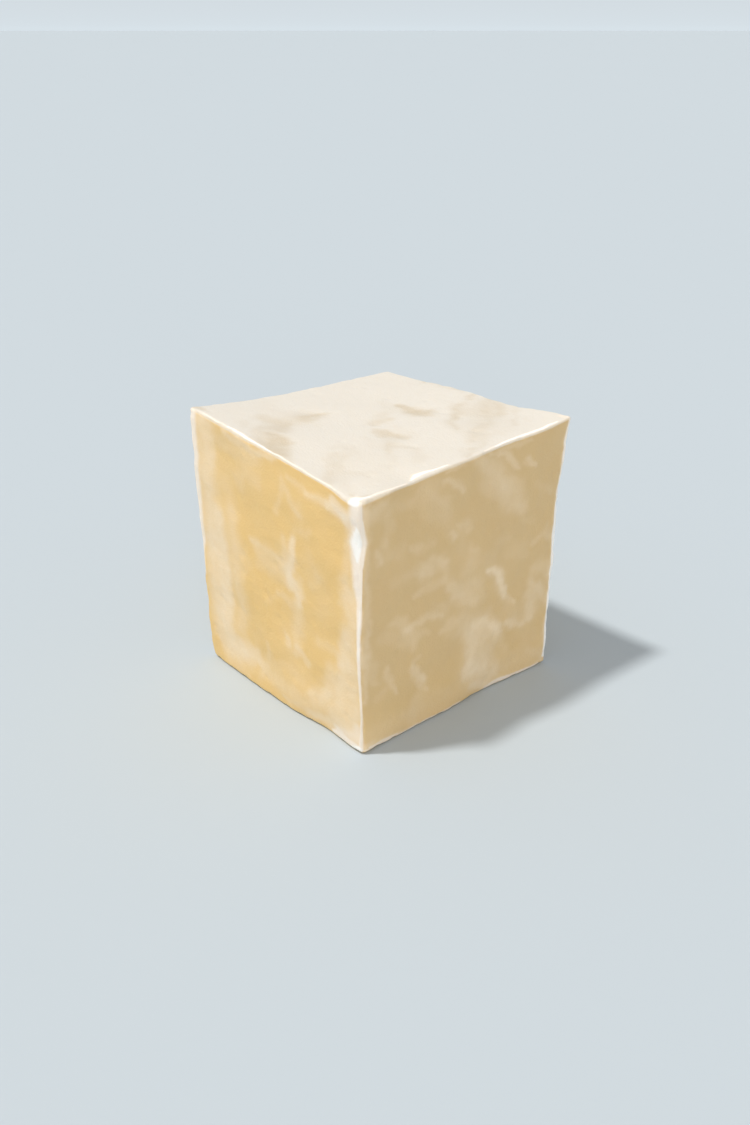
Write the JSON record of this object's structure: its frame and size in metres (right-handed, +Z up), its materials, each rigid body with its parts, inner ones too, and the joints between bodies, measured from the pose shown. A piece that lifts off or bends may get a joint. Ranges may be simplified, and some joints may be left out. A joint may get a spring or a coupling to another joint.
{
  "type": "tofu block",
  "caption": "Near-cubic block of firm tofu with slightly uneven hand-cut faces, softly worn edges and shallow dents in its top. It rests on its flat base.",
  "frame": {"origin": "middle of the block's outline, on the plane of its flat base", "axes": "+Z up; the front face looks along -Y and the right face along +X; the edge between them is the near, worn one"},
  "size_m": [0.0728, 0.0748, 0.0764],
  "materials": {
    "tofu": "moist satin, ivory on top and golden cream on the sides, with pale smears"
  },
  "bodies": {
    "root": {"tofu_block": "tofu"}
  },
  "joints": []
}
